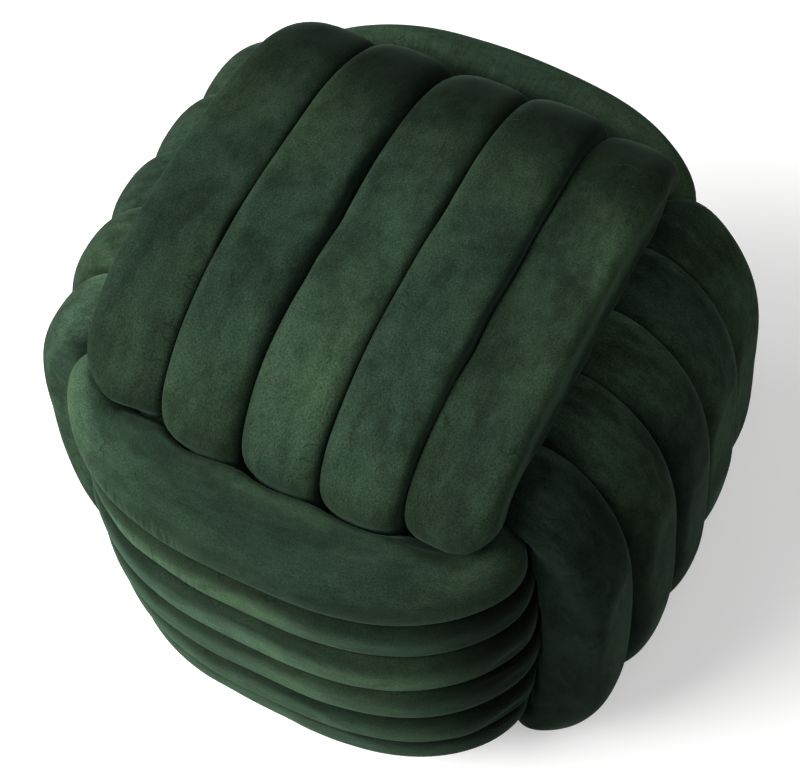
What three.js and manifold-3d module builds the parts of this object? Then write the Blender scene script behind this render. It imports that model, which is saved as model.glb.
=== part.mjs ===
// A knot pouf: one stuffed velvet tube wound into a ball of three sets of turns, each held by the next.
// Millimetres, +Z up, origin on the floor under the middle. The front is -Y and the right side is +X.
import * as THREE from 'three';
import Module from 'manifold-3d';

const wasm = await Module();
wasm.setup();

// Driving sizes
const PITCH = 62; // from one turn over the top to the next
const HALF_STACK = 2.5 * PITCH; // half the width of the turns over the top
const MIDDLE = 210; // height of the knot's middle above the floor
const LEAN = { x: -0.062, y: 0.025 }; // how far the knot leans for each millimetre of height
const PRESSED = 0.11; // share by which a hidden leg is pressed thinner
const NUDGE = 0.01; // half the angle between the two points that give a turn's direction
const SHOULDER = { from: 0.5, to: 0.7 }; // where a turn goes from a pressed leg to a full one
const STEPS = 40; // steps round a turn
const SIDES = 16; // sides of the tube
const SLACK = 0.3; // how far the fused surface may move when its smallest faces are merged

// Each set of turns. A turn is a rounded closed loop: out and back are how far it reaches where it
// shows, and half is how far from the middle its hidden legs lie. Square is the power of the rounded
// loop, and power that of the section. Dome lowers the edge turns, dip draws the middle of the hidden
// legs in, fan draws them together, skew slants them, and drop and shift move the whole set down and
// along its span. Lift raises a turn's left end.
const SETS = {
  top: {
    stack: 'x', reach: 'z', span: 'y', out: 146, back: 189, half: 167,
    square: 3, power: 2.6,
    dome: 0.026, dip: 0.14, fan: 0.053, skew: -1, drop: 0, shift: -1,
    turns: [
      { at: -115, wide: 34, deep: 35, lift: 0 },
      { at: -59, wide: 33, deep: 37, lift: 0 },
      { at: 5, wide: 33, deep: 36, lift: 0 },
      { at: 62, wide: 35, deep: 38, lift: 0 },
      { at: 118, wide: 32, deep: 32, lift: 0 },
    ],
  },
  front: {
    stack: 'z', reach: 'y', span: 'x', out: 190, back: 197, half: 158,
    square: 3, power: 2.2,
    dome: 0.063, dip: 0.09, fan: 0.056, skew: -4, drop: 21, shift: 1,
    turns: [
      { at: 104, wide: 24, deep: 35, lift: 8 },
      { at: 61, wide: 29, deep: 31, lift: 0 },
      { at: 19, wide: 31, deep: 33, lift: 0 },
      { at: -21, wide: 31, deep: 33, lift: 0 },
      { at: -72, wide: 26, deep: 31, lift: 0 },
      { at: -106, wide: 27, deep: 29, lift: 0 },
    ],
  },
  side: {
    stack: 'y', reach: 'x', span: 'z', out: 192, back: 197, half: 148,
    square: 3.5, power: 2.2,
    dome: 0.088, dip: 0.11, fan: -0.008, skew: 6, drop: 23, shift: -7,
    turns: [
      { at: 112, wide: 32, deep: 33, lift: 0 },
      { at: 58, wide: 33, deep: 33, lift: 0 },
      { at: 3, wide: 31, deep: 34, lift: 0 },
      { at: -50, wide: 32, deep: 34, lift: 0 },
      { at: -107, wide: 36, deep: 30, lift: 0 },
    ],
  },
};

// The middle of the knot, where hidden legs press together, is solid: a ball drawn out to a rounded
// block, whose surface lies under every crease
const HEART = { x: 188, y: 190, z: 158, drop: 14, square: 2.3, rings: 20, segments: 32 };

const signedPower = (value, power) => Math.sign(value) * Math.abs(value) ** power;

// A point of a turn's middle line, at an angle round the loop
function turnPoint(set, turn, angle) {
  const along = signedPower(Math.cos(angle), 2 / set.square);
  const outward = signedPower(Math.sin(angle), 2 / set.square);
  const towardsEdge = (turn.at / HALF_STACK) ** 2;
  const dip = 1 - set.dip * (1 - outward ** 2) ** 2;
  const reach = outward > 0 ? set.out : set.back;
  const point = new THREE.Vector3();
  point[set.span] = along * set.half * dip + set.shift;
  point[set.reach] = outward * reach * (1 - set.dome * towardsEdge);
  point[set.stack] = turn.at * (1 - set.fan * along ** 2) + set.skew * along;
  point.z += turn.lift * Math.max(-along, 0) ** 4 - set.drop;
  point.x += LEAN.x * point.z;
  point.y += LEAN.y * point.z;
  point.z += MIDDLE;
  return point;
}

// A closed solid from rings of points, each ring joined to the next and the last to the first
function solidFromRings(rings) {
  const count = rings[0].length;
  const triangles = [];
  rings.forEach((ring, i) => {
    const next = (i + 1) % rings.length;
    for (let j = 0; j < count; j++) {
      const k = (j + 1) % count;
      const [a, b, c, d] = [i * count + j, next * count + j, next * count + k, i * count + k];
      triangles.push(a, b, c, a, c, d);
    }
  });
  const positions = rings.flat().flatMap((p) => [p.x, p.y, p.z]);
  return manifoldFrom(positions, triangles);
}

// A solid from its points and triangles, turned the right way out
function manifoldFrom(positions, triangles) {
  const mesh = new wasm.Mesh({
    numProp: 3,
    vertProperties: new Float32Array(positions),
    triVerts: new Uint32Array(triangles),
  });
  const solid = new wasm.Manifold(mesh);
  return solid.volume() > 0 ? solid : manifoldFrom(positions, triangles.reverse());
}

// One turn of the tube: a rounded section carried round the closed loop
function turnSolid(set, turn) {
  const stack = new THREE.Vector3();
  stack[set.stack] = 1;
  const rings = [];
  for (let i = 0; i < STEPS; i++) {
    const angle = (i + 0.5) / STEPS * 2 * Math.PI;
    const centre = turnPoint(set, turn, angle);
    const ahead = turnPoint(set, turn, angle + NUDGE);
    const tangent = ahead.sub(turnPoint(set, turn, angle - NUDGE)).normalize();
    const depth = new THREE.Vector3().crossVectors(tangent, stack).normalize();
    const width = new THREE.Vector3().crossVectors(depth, tangent);
    const outward = Math.abs(signedPower(Math.sin(angle), 2 / set.square));
    const fullness = 1 - PRESSED * (1 - THREE.MathUtils.smoothstep(outward, SHOULDER.from, SHOULDER.to));
    const ring = [];
    for (let j = 0; j < SIDES; j++) {
      const side = j / SIDES * 2 * Math.PI;
      const across = signedPower(Math.sin(side), 2 / set.power);
      const deep = signedPower(Math.cos(side), 2 / set.power);
      ring.push(centre.clone()
        .addScaledVector(width, fullness * turn.wide * across)
        .addScaledVector(depth, fullness * turn.deep * deep));
    }
    rings.push(ring);
  }
  return solidFromRings(rings);
}

// The pressed heart of the knot: a ball drawn out to a rounded block
function heartSolid() {
  const positions = [];
  const triangles = [];
  const { rings, segments, square } = HEART;
  const place = (up, round) => {
    const level = signedPower(Math.cos(up), 2 / square);
    positions.push(
      HEART.x * level * signedPower(Math.cos(round), 2 / square),
      HEART.y * level * signedPower(Math.sin(round), 2 / square),
      HEART.z * signedPower(Math.sin(up), 2 / square) + MIDDLE - HEART.drop,
    );
  };
  place(-Math.PI / 2, 0);
  for (let i = 1; i < rings; i++) {
    for (let j = 0; j < segments; j++) place((i / rings - 0.5) * Math.PI, j / segments * 2 * Math.PI);
  }
  place(Math.PI / 2, 0);
  const top = positions.length / 3 - 1;
  for (let j = 0; j < segments; j++) {
    const k = (j + 1) % segments;
    triangles.push(0, 1 + k, 1 + j, top, top - segments + j, top - segments + k);
    for (let i = 0; i < rings - 2; i++) {
      const [a, b] = [1 + i * segments, 1 + (i + 1) * segments];
      triangles.push(a + j, a + k, b + k, a + j, b + k, b + j);
    }
  }
  return manifoldFrom(positions, triangles);
}

// The whole knot: one tube, so its turns are fused where they press on each other, and it is cut flat
// where it rests. Of the surfaces that this leaves, only the outer one is kept.
function poufSolid() {
  const pieces = [heartSolid()];
  for (const set of Object.values(SETS)) {
    for (const turn of set.turns) pieces.push(turnSolid(set, turn));
  }
  const fused = wasm.Manifold.union(pieces).trimByPlane([0, 0, 1], 0).simplify(SLACK);
  const shells = fused.decompose().sort((a, b) => b.volume() - a.volume());
  return shells[0];
}

// The solid's surface as a geometry, centred over the origin
function geometryFrom(solid) {
  const { vertProperties, triVerts, numProp } = solid.getMesh();
  const geometry = new THREE.BufferGeometry();
  const positions = [];
  for (let i = 0; i < vertProperties.length; i += numProp) {
    positions.push(...vertProperties.slice(i, i + 3));
  }
  geometry.setAttribute('position', new THREE.Float32BufferAttribute(positions, 3));
  geometry.setIndex([...triVerts]);
  geometry.computeVertexNormals();
  geometry.computeBoundingBox();
  const centre = geometry.boundingBox.getCenter(new THREE.Vector3());
  geometry.translate(-centre.x, -centre.y, 0);
  return geometry;
}

const velvet = new THREE.MeshStandardMaterial({ color: 0x2f4a3c, roughness: 0.9, metalness: 0 });
const pouf = new THREE.Mesh(geometryFrom(poufSolid()), velvet);
pouf.name = 'knot_pouf';

const group = new THREE.Group();
group.add(pouf);
export default group;
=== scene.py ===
# A knot pouf wound from one stuffed velvet tube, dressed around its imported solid. Metres, +Z up.
import math

import bpy
import numpy as np
from mathutils import Matrix


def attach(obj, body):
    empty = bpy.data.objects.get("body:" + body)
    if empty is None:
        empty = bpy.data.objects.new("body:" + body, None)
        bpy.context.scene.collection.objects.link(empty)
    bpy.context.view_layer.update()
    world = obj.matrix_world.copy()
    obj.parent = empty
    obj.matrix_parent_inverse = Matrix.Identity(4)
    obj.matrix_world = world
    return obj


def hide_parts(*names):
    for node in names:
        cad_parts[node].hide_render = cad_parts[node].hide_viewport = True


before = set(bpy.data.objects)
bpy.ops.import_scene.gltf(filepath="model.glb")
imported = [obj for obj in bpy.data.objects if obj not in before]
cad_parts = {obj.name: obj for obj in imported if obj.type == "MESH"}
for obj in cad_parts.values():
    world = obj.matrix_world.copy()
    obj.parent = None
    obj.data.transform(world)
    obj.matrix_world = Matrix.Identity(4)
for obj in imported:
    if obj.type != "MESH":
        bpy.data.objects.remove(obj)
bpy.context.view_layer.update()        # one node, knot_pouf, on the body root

NODE = "knot_pouf"
X, Y, Z = 0, 1, 2
TINY = 1e-9                   # keeps a length away from zero
LEAST_SHAPE = 1e-12           # and the measure that a section's radius is worked out from

# Driving sizes, as in the solid
PITCH = 0.062                 # from one turn over the top to the next
HALF_STACK = 2.5 * PITCH      # half the width of the turns over the top
MIDDLE = 0.210                # height of the knot's middle above the floor
LEAN = (-0.062, 0.025)        # how far the knot leans in X and Y for each metre of height
BOX_CENTRE = (-0.0006, -0.0040)  # middle of the solid's box, measured from the knot's own middle
PRESSED = 0.11                # share by which a hidden leg is pressed thinner
SHOULDER = (0.50, 0.70)       # where a turn goes from a pressed leg to a full one
FULLEST = (0.74, 0.92)        # where it goes from its bend to its fullest part
FIRMNESS = (0.84, 0.99)       # how hard a hidden leg and a full one push back on a neighbour

# Each set of turns. A turn is a rounded closed loop, the same as in the solid: out and back are how
# far it reaches where it shows, and half is how far from the middle its hidden legs lie. Square is the
# power of the rounded loop. Dome lowers the edge turns, dip draws the middle of the hidden legs in, fan
# draws them together, skew slants them, and drop and shift move the whole set down and along its span.
# Power is that of the tube's section at the bend and at the fullest part: 2 for an oval, and more for
# a boxier one. The rows give where a turn lies in its stack, and half its width and depth, closer to
# the soft tube's than the solid's are. Lift raises a turn's left end.
SETS = {
    "top": dict(
        stack=X, reach=Z, span=Y, out=0.146, back=0.189, half=0.167,
        square=3, power=(2.8, 4.5),
        dome=0.026, dip=0.14, fan=0.053, skew=-0.001, drop=0, shift=-0.001,
        turns=[
            dict(at=-0.115, wide=0.036, deep=0.035, lift=0),
            dict(at=-0.059, wide=0.035, deep=0.037, lift=0),
            dict(at=0.005, wide=0.035, deep=0.036, lift=0),
            dict(at=0.062, wide=0.037, deep=0.038, lift=0),
            dict(at=0.118, wide=0.034, deep=0.032, lift=0),
        ],
    ),
    "front": dict(
        stack=Z, reach=Y, span=X, out=0.19, back=0.197, half=0.158,
        square=3, power=(2.8, 2.8),
        dome=0.063, dip=0.09, fan=0.056, skew=-0.004, drop=0.021, shift=0.001,
        turns=[
            dict(at=0.104, wide=0.024, deep=0.035, lift=0.008),
            dict(at=0.061, wide=0.029, deep=0.031, lift=0),
            dict(at=0.019, wide=0.031, deep=0.033, lift=0),
            dict(at=-0.021, wide=0.031, deep=0.033, lift=0),
            dict(at=-0.072, wide=0.026, deep=0.031, lift=0),
            dict(at=-0.106, wide=0.027, deep=0.029, lift=0),
        ],
    ),
    "side": dict(
        stack=Y, reach=X, span=Z, out=0.192, back=0.197, half=0.148,
        square=3.5, power=(2.8, 2.8),
        dome=0.088, dip=0.11, fan=-0.008, skew=0.006, drop=0.023, shift=-0.007,
        turns=[
            dict(at=0.112, wide=0.032, deep=0.033, lift=0),
            dict(at=0.058, wide=0.033, deep=0.033, lift=0),
            dict(at=0.003, wide=0.031, deep=0.034, lift=0),
            dict(at=-0.05, wide=0.032, deep=0.034, lift=0),
            dict(at=-0.1045, wide=0.032, deep=0.031, lift=0),
        ],
    ),
}

# How the surface is made
STEPS = 144                   # rings round a turn
SIDES = 48                    # points round a ring
TUBE_ROUND = 0.22             # the way round the tube
FINE_STEPS = 4000             # steps for measuring along a turn
CREASE = 0.0006               # gap between two turns that press on each other
FEEL = 0.12                   # how far a turn looks for neighbours
LEAST_SHARE = 0.25            # the least share of the way to a neighbour that a turn keeps
BEND_CLEAR = 0.11             # how far along a turn its own tube counts as a neighbour
LOWEST_HEART = 0.004          # the least height of a middle line above the floor, for pressing it flat
EVEN_ALONG = 1.2              # how far the surface is evened out along a turn, in rings
EVEN_ROUND = 0.4              # and round it, in points
HARDNESS = 20                 # how sharp the edge of a pressed face is
UNEVEN = 0.02                 # unevenness of the filling, as a share of the tube's radius
UNEVEN_LENGTHS = (0.32, 0.19, 0.11, 0.07)  # from one thick place to the next
UNEVEN_SPREAD = (0.8, 1.25)   # how much those lengths differ from turn to turn
SEED = 11

# The cloth's settling
PRESSURE = 4                  # how hard the filling pushes outwards
BENDING = 0.3                 # how much the cloth resists a fold
HELD_BELOW = 0.1              # the rings that are shown less than this share are held
EXTRA_CLOTH = 0.03            # how much more cloth there is than the tube needs
SETTLE_FRAMES = 20
SETTLE_QUALITY = 3
MOST_MOVE = 0.005             # how far a point may move
BROAD_ALONG = 4               # what is wider than this many rings is not a wrinkle
BROAD_ROUND = 3               # and this many points round
LEAST_WRINKLED = 0.5          # the share of the wrinkles that is left at the fullest part of a turn

# Painted light and shade in the velvet's colour, partly the look of its brushed pile. Painted shade
# darkens the top turns' far ends and undersides, the hollow by the front turns' right ends, the lower
# front turns' upper parts and the right side's turns; painted light and sheen lighten lit ends, flanks,
# rims and lower edges, and a few rows give one turn its own tone. Each row changes a set's shade by a
# share: from nothing at the start to all of it at the end, by where a point lies along an axis or how far
# it faces that way. Only keeps a row to one side of the knot.
RIGHT_SIDE = (X, -0.02, 0.02)
BACK_SIDE = (Y, -0.02, 0.02)
NAP_AND_PAINTED_LIGHT = [
    dict(set="top", turns=(1, 5), by="place", axis=Y, start=0.02, end=0.14, shade=0.33),
    dict(set="top", turns=(3, 3), by="place", axis=Y, start=0.08, end=-0.04, shade=1.15),
    dict(set="top", turns=(1, 1), by="place", axis=Y, start=0.08, end=-0.04, shade=0.80),
    dict(set="top", turns=(2, 2), by="place", axis=Y, start=-0.08, end=-0.15, shade=0.90),
    dict(set="top", turns=(2, 2), by="place", axis=Y, start=0.05, end=0.14, shade=0.78),
    dict(set="top", turns=(5, 5), by="place", axis=Y, start=0.08, end=-0.04, shade=0.82),
    dict(set="top", turns=(1, 5), by="facing", axis=Z, start=0.30, end=-0.20, shade=0.40),
    dict(set="top", turns=(5, 5), by="facing", axis=X, start=0.45, end=0.85, shade=1.9),
    dict(set="front", turns=(1, 6), by="place", axis=Y, start=-0.02, end=0.02, shade=1.2),
    dict(set="front", turns=(3, 3), by="place", axis=Y, start=0.02, end=-0.02, shade=1.3),
    dict(set="front", turns=(1, 1), by="place", axis=X, start=-0.06, end=-0.16, shade=1.8),
    dict(set="front", turns=(1, 1), by="place", axis=X, start=0.14, end=0.19, shade=0.45),
    dict(set="front", turns=(1, 1), by="facing", axis=Y, start=0.2, end=-0.4, shade=0.5, only=BACK_SIDE),
    dict(set="front", turns=(2, 6), by="place", axis=X, start=0.10, end=0.16, shade=0.12),
    dict(set="front", turns=(1, 1), by="facing", axis=Z, start=0.30, end=-0.30, shade=1.45),
    dict(set="front", turns=(2, 6), by="facing", axis=Z, start=0.20, end=0.70, shade=0.45),
    dict(set="front", turns=(2, 6), by="facing", axis=Z, start=0.45, end=-0.10, shade=2.5),
    dict(set="side", turns=(1, 4), by="place", axis=X, start=-0.02, end=0.02, shade=0.52),
    dict(set="side", turns=(1, 2), by="place", axis=Z, start=0.315, end=0.265, shade=1.7, only=RIGHT_SIDE),
    dict(set="side", turns=(1, 4), by="place", axis=X, start=0.02, end=-0.02, shade=0.90),
    dict(set="side", turns=(5, 5), by="place", axis=X, start=-0.02, end=0.02, shade=0.56),
    dict(set="side", turns=(5, 5), by="place", axis=X, start=0.02, end=-0.02, shade=1.55),
    dict(set="side", turns=(5, 5), by="place", axis=Z, start=0.20, end=0.08, shade=0.60, only=RIGHT_SIDE),
    dict(set="side", turns=(1, 5), by="facing", axis=X, start=0.75, end=1.00, shade=1.6),
    dict(set="side", turns=(1, 4), by="facing", axis=Z, start=0.20, end=0.80, shade=1.6, only=RIGHT_SIDE),
    dict(set="side", turns=(1, 5), by="facing", axis=Y, start=0.30, end=0.90, shade=2.8),
]
MOTTLED = {"top": 1.1, "front": 0.9, "side": 1.6}  # how strongly each set is mottled

# Where the front turns' cloth is gathered into fine ribs: along an axis, and by how far up it faces
GATHERS = [
    dict(turns=(1, 2), axis=X, start=0.00, end=-0.09, facing=(0.45, 0.0), most=1.0),
    dict(turns=(1, 1), axis=Y, start=0.05, end=0.10, facing=(0.5, 1.0), most=0.4),
]

# The velvet: the shader's own values, and the two greens that its colour drifts between
VELVET = {
    "Roughness": 0.9,
    "Specular IOR Level": 0.03,
    "Sheen Weight": 0.08,
    "Sheen Roughness": 0.32,
    "Sheen Tint": (0.50, 0.84, 0.62, 1),
}
BLUER_GREEN = (0.0180, 0.0345, 0.0218, 1)
WARMER_GREEN = (0.0205, 0.0370, 0.0200, 1)

# The noises in it, in repeats for each metre. Along and round stretch a noise: below 1, it is drawn
# out along the tube or round it.
NOISES = {
    "drift": dict(along=0.6, round=1, scale=9, detail=2, roughness=0.5, distortion=0),
    "patch": dict(along=0.6, round=1, scale=26, detail=10, roughness=0.74, distortion=0.3),
    "mottle": dict(along=0.8, round=1, scale=110, detail=6, roughness=0.7, distortion=0),
    "pile": dict(along=1, round=1, scale=900, detail=3, roughness=0.75, distortion=0),
    "swirl": dict(along=1, round=0.45, scale=34, detail=3, roughness=0.6, distortion=0),
    "creased": dict(along=1, round=1, scale=19, detail=1, roughness=0.5, distortion=0),
    "rib": dict(along=1, round=0.12, scale=230, detail=1, roughness=0.5, distortion=0),
}
# How a value turns into a shade: from first at low to last at high
SHADES = {
    "tint": dict(low=0.35, high=0.65, first=0, last=1),
    "drift": dict(low=0.3, high=0.7, first=0.84, last=1.18),
    "patch": dict(low=0.44, high=0.60, first=1.06, last=0.74),
    "mottle": dict(low=0.3, high=0.7, first=0.84, last=1.18),
    "grain": dict(low=0.3, high=0.7, first=0.6, last=1.4),
    "crease line": dict(low=0, high=0.012, first=1, last=0),
    "creased": dict(low=0.60, high=0.68, first=0, last=1),
    # the crease marks' darkening is painted shade
    "crease painted shade": dict(low=0, high=1, first=1, last=0.72),
    "crease depth": dict(low=0, high=1, first=1, last=0),
}
RIB_PAINTED_LIGHT_AND_SHADE = 1.1               # how strongly the ribs' folds are painted light and dark, as painted shade and highlight
# The small relief, in metres
RELIEF = {
    "ribs": dict(strength=0.7, distance=0.005),
    "creases": dict(strength=0.5, distance=0.0006),
    "pile": dict(strength=0.35, distance=0.0007),
}

# The studio: a pale floor, square soft lights that are turned to the knot's middle, and an even sky
FLOOR_HALF = 6.0
FLOOR = {
    "Base Color": (0.86, 0.86, 0.85, 1),
    "Roughness": 0.9,
    "Emission Color": (1, 1, 1, 1),
    "Emission Strength": 0.3,
}
LAMPS = [
    dict(name="key", azimuth=-42, elevation=42, size=1.9, power=128),
    dict(name="left", azimuth=-75, elevation=22, size=1.8, power=60),
    dict(name="fill", azimuth=60, elevation=60, size=1.8, power=24),
]
LAMP_DISTANCE = 2.9
SKY = {"Color": (1, 1, 1, 1), "Strength": 0.16}

# The camera, as worked out from the crease lines of the photograph. Angles in degrees, and the lens
# and its sensor in millimetres.
AZIMUTH = 30.32
ELEVATION = 59.23
ROLL = -3.98
DISTANCE = 1.606
ASIDE = (0.0022, 0.0161)      # how far the camera is moved left and down, from straight before the middle
LENS = 102.55
SENSOR = 36


def smooth_step(values, start, end):
    """From 0 at the start to 1 at the end, in whichever direction they lie."""
    share = np.clip((values - start) / (end - start), 0, 1)
    return share * share * (3 - 2 * share)


def signed_power(values, power):
    return np.sign(values) * np.abs(values) ** power


def between(pair, share):
    """The number that lies this share of the way from the first of a pair to the second."""
    return pair[0] + (pair[1] - pair[0]) * share


def unit(vectors):
    return vectors / np.linalg.norm(vectors, axis=-1, keepdims=True)


def loop_points(spec, row):
    """Points all round a turn's middle line, and how far outward each one lies."""
    at = row["at"]
    angles = np.linspace(0, 2 * math.pi, FINE_STEPS, endpoint=False)
    along = signed_power(np.cos(angles), 2 / spec["square"])
    outward = signed_power(np.sin(angles), 2 / spec["square"])
    towards_edge = (at / HALF_STACK) ** 2
    dip = 1 - spec["dip"] * (1 - outward ** 2) ** 2
    reach = np.where(outward > 0, spec["out"], spec["back"])
    points = np.zeros((FINE_STEPS, 3))
    points[:, spec["span"]] = along * spec["half"] * dip + spec["shift"]
    points[:, spec["reach"]] = outward * reach * (1 - spec["dome"] * towards_edge)
    points[:, spec["stack"]] = at * (1 - spec["fan"] * along ** 2) + spec["skew"] * along
    points[:, Z] += row["lift"] * np.clip(-along, 0, 1) ** 4 - spec["drop"]
    points[:, X] += LEAN[X] * points[:, Z] - BOX_CENTRE[X]
    points[:, Y] += LEAN[Y] * points[:, Z] - BOX_CENTRE[Y]
    points[:, Z] += MIDDLE
    return points, outward


def even_steps(points, values):
    """The closed line of points, and the values on it, taken again at even steps, and its length."""
    closed = np.vstack([points, points[:1]])
    lengths = np.linalg.norm(np.diff(closed, axis=0), axis=1)
    travelled = np.concatenate([[0], np.cumsum(lengths)])
    places = np.linspace(0, travelled[-1], STEPS, endpoint=False)
    again = np.stack([np.interp(places, travelled, closed[:, k]) for k in range(3)], axis=1)
    return again, np.interp(places, travelled, np.append(values, values[0])), travelled[-1]


def uneven_wave(random, total):
    """An uneven wave along a turn that closes on itself, from -1 to 1."""
    places = np.arange(STEPS) / STEPS
    result = np.zeros(STEPS)
    for length in UNEVEN_LENGTHS:
        cycles = max(1, round(total / length * random.uniform(*UNEVEN_SPREAD)))
        result += np.cos(2 * math.pi * (cycles * places + random.uniform())) / len(UNEVEN_LENGTHS)
    return result


def make_turn(set_name, number, random):
    """One turn of the tube: its middle line, the axes of its section and half its width and depth."""
    spec = SETS[set_name]
    row = spec["turns"][number]
    centres, outward, total = even_steps(*loop_points(spec, row))
    tangents = unit(np.roll(centres, -1, axis=0) - np.roll(centres, 1, axis=0))
    stack = np.zeros(3)
    stack[spec["stack"]] = 1
    depth_axes = unit(np.cross(tangents, stack))
    shown = smooth_step(np.abs(outward), *SHOULDER)
    fullest = smooth_step(np.abs(outward), *FULLEST)
    fullness = (1 - PRESSED * (1 - shown)) * (1 + UNEVEN * uneven_wave(random, total))
    return dict(
        name=f"{set_name}_turn_{number + 1}", set=set_name, number=number + 1,
        centres=centres, total=total, shown=shown, fullest=fullest,
        width_axes=np.cross(depth_axes, tangents), depth_axes=depth_axes,
        wide=row["wide"] * fullness, deep=row["deep"] * fullness,
        power=between(spec["power"], fullest), firm=between(FIRMNESS, shown),
    )


def free_radius(turn, rows, directions):
    """The section's own radius in each direction, where nothing presses on it."""
    across = np.abs(np.sum(directions * turn["width_axes"][rows], axis=-1))
    deep = np.abs(np.sum(directions * turn["depth_axes"][rows], axis=-1))
    flat = np.hypot(across, deep) + TINY
    power = turn["power"][rows]
    shape = (across / turn["wide"][rows]) ** power + (deep / turn["deep"][rows]) ** power
    return flat / (shape + LEAST_SHAPE) ** (1 / power)


def pressing_planes(turn, others):
    """For each ring of a turn, the planes along which its neighbours and the floor press on it.

    A plane is given by one vector, which points at the neighbour. Its length is one over the plane's
    distance.
    """
    planes = [[] for _ in range(STEPS)]
    for other in others:
        offsets = other["centres"][None] - turn["centres"][:, None]
        distances = np.linalg.norm(offsets, axis=-1)
        near = distances < FEEL
        if other is turn:
            apart = np.abs(np.arange(STEPS)[None] - np.arange(STEPS)[:, None])
            near &= np.minimum(apart, STEPS - apart) * turn["total"] / STEPS > BEND_CLEAR
        rings, rows = np.nonzero(near)
        if len(rings) == 0:
            continue
        distance = distances[rings, rows]
        units = offsets[rings, rows] / distance[:, None]
        mine = free_radius(turn, rings, units) * turn["firm"][rings]
        theirs = free_radius(other, rows, units) * other["firm"][rows]
        heights = (distance ** 2 + mine ** 2 - theirs ** 2) / (2 * distance)
        heights = np.clip(heights, LEAST_SHARE * distance, (1 - LEAST_SHARE) * distance) - CREASE / 2
        vectors = units / heights[:, None]
        bounds = np.searchsorted(rings, np.arange(STEPS + 1))
        for ring in np.unique(rings):
            planes[ring].append(vectors[bounds[ring]:bounds[ring + 1]])
    for ring in range(STEPS):
        planes[ring].append([[0, 0, -1 / max(turn["centres"][ring, Z], LOWEST_HEART)]])
    return [np.vstack(found) for found in planes]


def pressed_most(directions, planes):
    """One over the distance to the nearest plane in each direction, ring by ring."""
    return np.stack([np.max(directions[k] @ planes[k].T, axis=1) for k in range(STEPS)])


def ring_directions(turn):
    """The directions of the points round each ring, starting from the hidden inner side."""
    angles = math.pi + np.linspace(0, 2 * math.pi, SIDES, endpoint=False)
    return (
        np.sin(angles)[None, :, None] * turn["width_axes"][:, None]
        + np.cos(angles)[None, :, None] * turn["depth_axes"][:, None]
    )


def evened(values, axis, spread):
    """The values evened out along one closed axis."""
    reach = math.ceil(3 * spread)
    offsets = np.arange(-reach, reach + 1)
    weights = np.exp(-0.5 * (offsets / spread) ** 2)
    return sum(w * np.roll(values, o, axis) for o, w in zip(offsets, weights / weights.sum()))


def above_floor(rings):
    """The rings, with nothing left below the floor."""
    rings[..., Z] = np.maximum(rings[..., Z], 0)
    return rings


def pressed_rings(turn, planes):
    """Rings of points round a turn, each pressed flat where a neighbour or the floor pushes on it."""
    directions = ring_directions(turn)
    pressed = pressed_most(directions, planes)
    free = 1 / free_radius(turn, np.arange(STEPS)[:, None], directions)
    radius = (free ** HARDNESS + np.maximum(pressed, 0) ** HARDNESS) ** (-1 / HARDNESS)
    radius = evened(evened(radius, 0, EVEN_ALONG), 1, EVEN_ROUND)
    return above_floor(turn["centres"][:, None] + radius[..., None] * directions)


def placed(name, data):
    """An object in the scene with this data."""
    thing = bpy.data.objects.new(name, data)
    bpy.context.scene.collection.objects.link(thing)
    return thing


def mesh_from_rings(name, rings, total, start):
    """A closed mesh from rings of points, with a map that runs along and round the tube in metres."""
    count, sides = rings.shape[:2]
    mesh = bpy.data.meshes.new(name)
    i, j = np.meshgrid(np.arange(count), np.arange(sides), indexing="ij")
    after, beside = (i + 1) % count, (j + 1) % sides
    corners = np.stack([i * sides + j, i * sides + beside, after * sides + beside, after * sides + j], -1)
    faces = count * sides
    mesh.vertices.add(faces)
    mesh.vertices.foreach_set("co", rings.reshape(-1))
    mesh.loops.add(faces * 4)
    mesh.polygons.add(faces)
    mesh.loops.foreach_set("vertex_index", corners.reshape(-1))
    mesh.polygons.foreach_set("loop_start", np.arange(faces) * 4)
    mesh.polygons.foreach_set("use_smooth", np.ones(faces, bool))
    along = start + np.stack([i, i, i + 1, i + 1], -1) * total / count
    round_tube = np.stack([j, j + 1, j + 1, j], -1) * TUBE_ROUND / sides
    layer = mesh.uv_layers.new(name="tube")
    layer.data.foreach_set("uv", np.stack([along, round_tube], -1).reshape(-1))
    mesh.update(calc_edges=True)
    mesh.validate()
    return placed(name, mesh)


def points_of(mesh):
    points = np.zeros(len(mesh.vertices) * 3)
    mesh.vertices.foreach_get("co", points)
    return points.reshape(STEPS, SIDES, 3)


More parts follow.
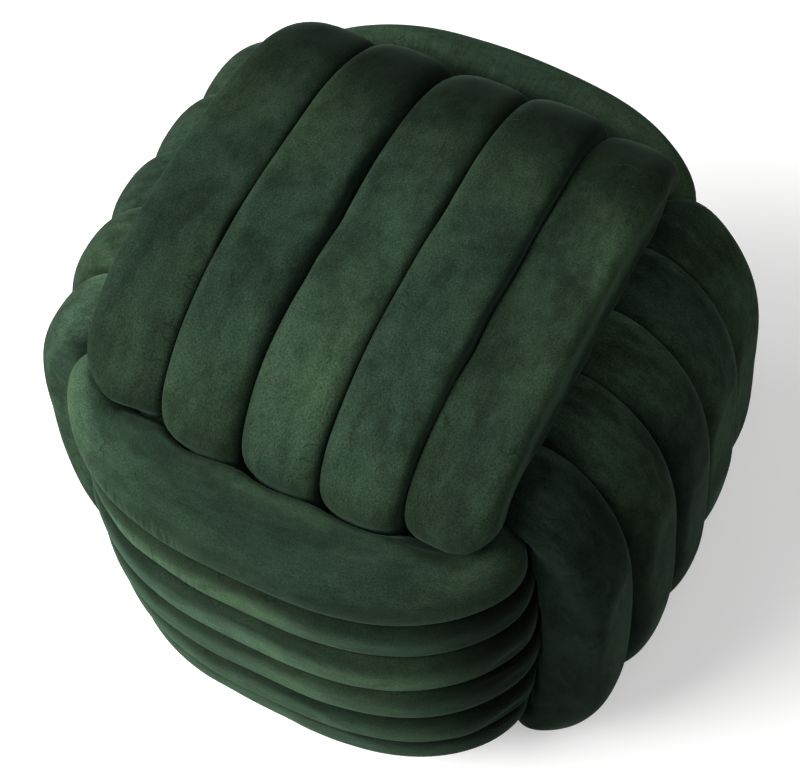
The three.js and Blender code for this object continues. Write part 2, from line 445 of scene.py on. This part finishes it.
def settle(piece, turn, planes):
    """Lets the cloth of a turn puff and wrinkle, and keeps its wrinkles and puckers.

    They are strongest where the turn goes under another. The broad shape stays as it is, and the
    points are pressed against the neighbours again.
    """
    full = points_of(piece.data)
    held = piece.vertex_groups.new(name="held")
    for ring in np.flatnonzero(turn["shown"] < HELD_BELOW):
        held.add(range(int(ring) * SIDES, (int(ring) + 1) * SIDES), 1.0, "REPLACE")
    cloth = piece.modifiers.new("cloth", "CLOTH")
    cloth.settings.quality = SETTLE_QUALITY
    cloth.settings.use_pressure = True
    cloth.settings.uniform_pressure_force = PRESSURE
    cloth.settings.effector_weights.gravity = 0
    cloth.settings.shrink_min = -EXTRA_CLOTH
    cloth.settings.vertex_group_mass = "held"
    cloth.settings.bending_stiffness = BENDING
    cloth.point_cache.frame_start = 1
    cloth.point_cache.frame_end = SETTLE_FRAMES
    scene = bpy.context.scene
    for number in range(1, SETTLE_FRAMES + 1):
        scene.frame_set(number)
    evaluated = piece.evaluated_get(bpy.context.evaluated_depsgraph_get())
    step = points_of(evaluated.data) - full
    piece.modifiers.remove(cloth)
    piece.vertex_groups.remove(held)
    scene.frame_set(1)

    wrinkles = step - evened(evened(step, 0, BROAD_ALONG), 1, BROAD_ROUND)
    length = np.linalg.norm(wrinkles, axis=-1, keepdims=True) + TINY
    wrinkles *= MOST_MOVE * np.tanh(length / MOST_MOVE) / length
    share = between((1, LEAST_WRINKLED), turn["fullest"])
    arms = full + share[:, None, None] * wrinkles - turn["centres"][:, None]
    reach = np.linalg.norm(arms, axis=-1)
    directions = arms / reach[..., None]
    reach = np.minimum(reach, 1 / np.maximum(pressed_most(directions, planes), TINY))
    settled = above_floor(turn["centres"][:, None] + reach[..., None] * directions)
    piece.data.vertices.foreach_set("co", settled.reshape(-1))
    piece.data.update()


def among(row, turn):
    """Whether a turn is one of those that a row is about."""
    return row["turns"][0] <= turn["number"] <= row["turns"][1]


def paint_nap_light_and_gathers(piece, turn):
    """Marks the painted light and shade at each point of a turn, partly the look of its brushed nap, and
    where its cloth is gathered.
    """
    points = points_of(piece.data)
    facing = unit(points - turn["centres"][:, None])
    nap_and_painted_light = np.ones(points.shape[:2])
    for row in NAP_AND_PAINTED_LIGHT:
        if row["set"] == turn["set"] and among(row, turn):
            values = (facing if row["by"] == "facing" else points)[..., row["axis"]]
            share = smooth_step(values, row["start"], row["end"])
            if "only" in row:
                axis, start, end = row["only"]
                share = share * smooth_step(points[..., axis], start, end)
            nap_and_painted_light *= between((1, row["shade"]), share)
    gather = np.zeros(points.shape[:2])
    for row in GATHERS:
        if turn["set"] == "front" and among(row, turn):
            along = smooth_step(points[..., row["axis"]], row["start"], row["end"])
            share = along * smooth_step(facing[..., Z], *row["facing"])
            gather = np.maximum(gather, row["most"] * share)
    mottle = np.full(points.shape[:2], MOTTLED[turn["set"]])
    for name, values in (("nap_and_painted_light", nap_and_painted_light), ("gather", gather), ("mottle", mottle)):
        piece.data.attributes.new(name, "FLOAT", "POINT").data.foreach_set("value", values.reshape(-1))


def fill_in(node, values):
    """Sets a node's sockets to the values that are named after them."""
    for name, value in values.items():
        node.inputs[name].default_value = value


def velvet_material():
    material = bpy.data.materials.new("velvet")
    material.use_nodes = True
    nodes, links = material.node_tree.nodes, material.node_tree.links
    shader = nodes["Principled BSDF"]
    fill_in(shader, VELVET)
    place = nodes.new("ShaderNodeUVMap")
    place.uv_map = "tube"

    def noise(name):
        row = NOISES[name]
        mapping = nodes.new("ShaderNodeMapping")
        fill_in(mapping, {"Scale": (row["along"], row["round"], 1)})
        links.new(place.outputs["UV"], mapping.inputs["Vector"])
        node = nodes.new("ShaderNodeTexNoise")
        fill_in(node, {key.title(): row[key] for key in ("scale", "detail", "roughness", "distortion")})
        links.new(mapping.outputs["Vector"], node.inputs["Vector"])
        return node.outputs["Fac"]

    def shade(name, value):
        row = SHADES[name]
        node = nodes.new("ShaderNodeMapRange")
        node.interpolation_type = "SMOOTHSTEP"
        fill_in(node, {
            "From Min": row["low"], "From Max": row["high"], "To Min": row["first"], "To Max": row["last"],
        })
        links.new(value, node.inputs["Value"])
        return node.outputs["Result"]

    def calculated(operation, *values):
        node = nodes.new("ShaderNodeMath")
        node.operation = operation
        for socket, value in zip(node.inputs, values):
            if isinstance(value, float):
                socket.default_value = value
            else:
                links.new(value, socket)
        return node.outputs["Value"]

    def product(*values):
        result = values[0]
        for value in values[1:]:
            result = calculated("MULTIPLY", result, value)
        return result

    def attribute(name):
        node = nodes.new("ShaderNodeAttribute")
        node.attribute_name = name
        return node.outputs["Fac"]

    def mixed(blend, share, first, second):
        """Two colours mixed. Each of the three is a value or the output of another node."""
        node = nodes.new("ShaderNodeMix")
        node.data_type = "RGBA"
        node.blend_type = blend
        for name, value in (("Factor", share), ("A", first), ("B", second)):
            if isinstance(value, (float, tuple)):
                fill_in(node, {name: value})
            else:
                links.new(value, node.inputs[name])
        return node.outputs["Result"]

    def relief(name, height, normal=None):
        node = nodes.new("ShaderNodeBump")
        fill_in(node, {key.title(): value for key, value in RELIEF[name].items()})
        links.new(height, node.inputs["Height"])
        if normal is not None:
            links.new(normal, node.inputs["Normal"])
        return node.outputs["Normal"]

    # broad drifts of the nap, brushed patches with rough edges, small mottles, and the pile's grain
    drift = noise("drift")
    patches = product(shade("patch", noise("patch")), shade("mottle", noise("mottle")))
    patches = calculated("POWER", patches, attribute("mottle"))
    pile = noise("pile")
    # short thin crease marks, few and far between, pressed in as relief and darkened as painted shade
    off_line = calculated("ABSOLUTE", calculated("SUBTRACT", noise("swirl"), 0.5))
    creases = product(shade("crease line", off_line), shade("creased", noise("creased")))
    # fine ribs across the tube where the cloth is gathered, as relief and as painted light and shade on
    # their folds
    ribs = product(calculated("SUBTRACT", noise("rib"), 0.5), attribute("gather"))
    # the nap attribute brings in painted light and shade: painted shade in hollows and turned-away parts,
    # painted sheen on rims
    strength = product(
        shade("drift", drift), patches, shade("grain", pile), shade("crease painted shade", creases),
        calculated("MULTIPLY_ADD", ribs, RIB_PAINTED_LIGHT_AND_SHADE, 1.0), attribute("nap_and_painted_light"),
    )
    green = mixed("MIX", shade("tint", drift), BLUER_GREEN, WARMER_GREEN)
    links.new(mixed("MULTIPLY", 1.0, green, strength), shader.inputs["Base Color"])

    normal = relief("ribs", ribs)
    normal = relief("creases", shade("crease depth", creases), normal)
    normal = relief("pile", pile, normal)
    links.new(normal, shader.inputs["Normal"])
    return material


def build_pouf():
    random = np.random.default_rng(SEED)
    velvet = velvet_material()
    turns = [
        make_turn(set_name, number, random)
        for set_name, spec in SETS.items()
        for number in range(len(spec["turns"]))
    ]
    start = 0.0
    for turn in turns:
        planes = pressing_planes(turn, turns)
        rings = pressed_rings(turn, planes)
        piece = mesh_from_rings(turn["name"], rings, turn["total"], start)
        start += turn["total"]
        settle(piece, turn, planes)
        smooth = piece.modifiers.new("smooth", "SUBSURF")
        smooth.levels = 1
        smooth.render_levels = 1
        paint_nap_light_and_gathers(piece, turn)
        piece.data.materials.append(velvet)
        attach(piece, "root")
        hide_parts(NODE)


def make_floor():
    mesh = bpy.data.meshes.new("floor")
    corners = [(FLOOR_HALF * x, FLOOR_HALF * y, 0) for x, y in ((-1, -1), (1, -1), (1, 1), (-1, 1))]
    mesh.from_pydata(corners, [], [(0, 1, 2, 3)])
    material = bpy.data.materials.new("pale_floor")
    material.use_nodes = True
    fill_in(material.node_tree.nodes["Principled BSDF"], FLOOR)
    mesh.materials.append(material)
    floor = placed("floor", mesh)
    floor.visible_diffuse = False  # the floor's glow is for the eye alone, and doesn't light the pouf


def aimed(azimuth, elevation, distance, roll=0.0, aside=(0, 0), middle=(0, 0, MIDDLE)):
    """The placing of a lamp or a camera that looks at the knot's middle, with angles in degrees.

    Azimuth 0 is in front of the knot, and 90 is right of it.
    """
    turned, raised, rolled = math.radians(azimuth), math.radians(elevation), math.radians(roll)
    back = np.array([
        math.sin(turned) * math.cos(raised), -math.cos(turned) * math.cos(raised), math.sin(raised),
    ])
    level = np.array([math.cos(turned), math.sin(turned), 0])
    upright = np.cross(back, level)
    right = math.cos(rolled) * level + math.sin(rolled) * upright
    up = math.cos(rolled) * upright - math.sin(rolled) * level
    place = np.array(middle) + back * distance - right * aside[0] - up * aside[1]
    return Matrix.Translation(place) @ Matrix(np.stack([right, up, back], 1).tolist()).to_4x4()


def lighting():
    for row in LAMPS:
        light = bpy.data.lights.new(row["name"], "AREA")
        light.shape = "SQUARE"
        light.size = row["size"]
        light.energy = row["power"]
        lamp = placed(row["name"], light)
        lamp.matrix_world = aimed(row["azimuth"], row["elevation"], LAMP_DISTANCE)
    world = bpy.data.worlds.new("studio")
    world.use_nodes = True
    fill_in(world.node_tree.nodes["Background"], SKY)
    bpy.context.scene.world = world


def make_camera():
    data = bpy.data.cameras.new("camera")
    data.lens = LENS
    data.sensor_width = SENSOR
    camera = placed("camera", data)
    middle = (-BOX_CENTRE[X], -BOX_CENTRE[Y], MIDDLE)
    camera.matrix_world = aimed(AZIMUTH, ELEVATION, DISTANCE, ROLL, ASIDE, middle)
    bpy.context.scene.camera = camera


make_camera()
make_floor()
lighting()
build_pouf()
bpy.context.scene.view_settings.view_transform = "Standard"
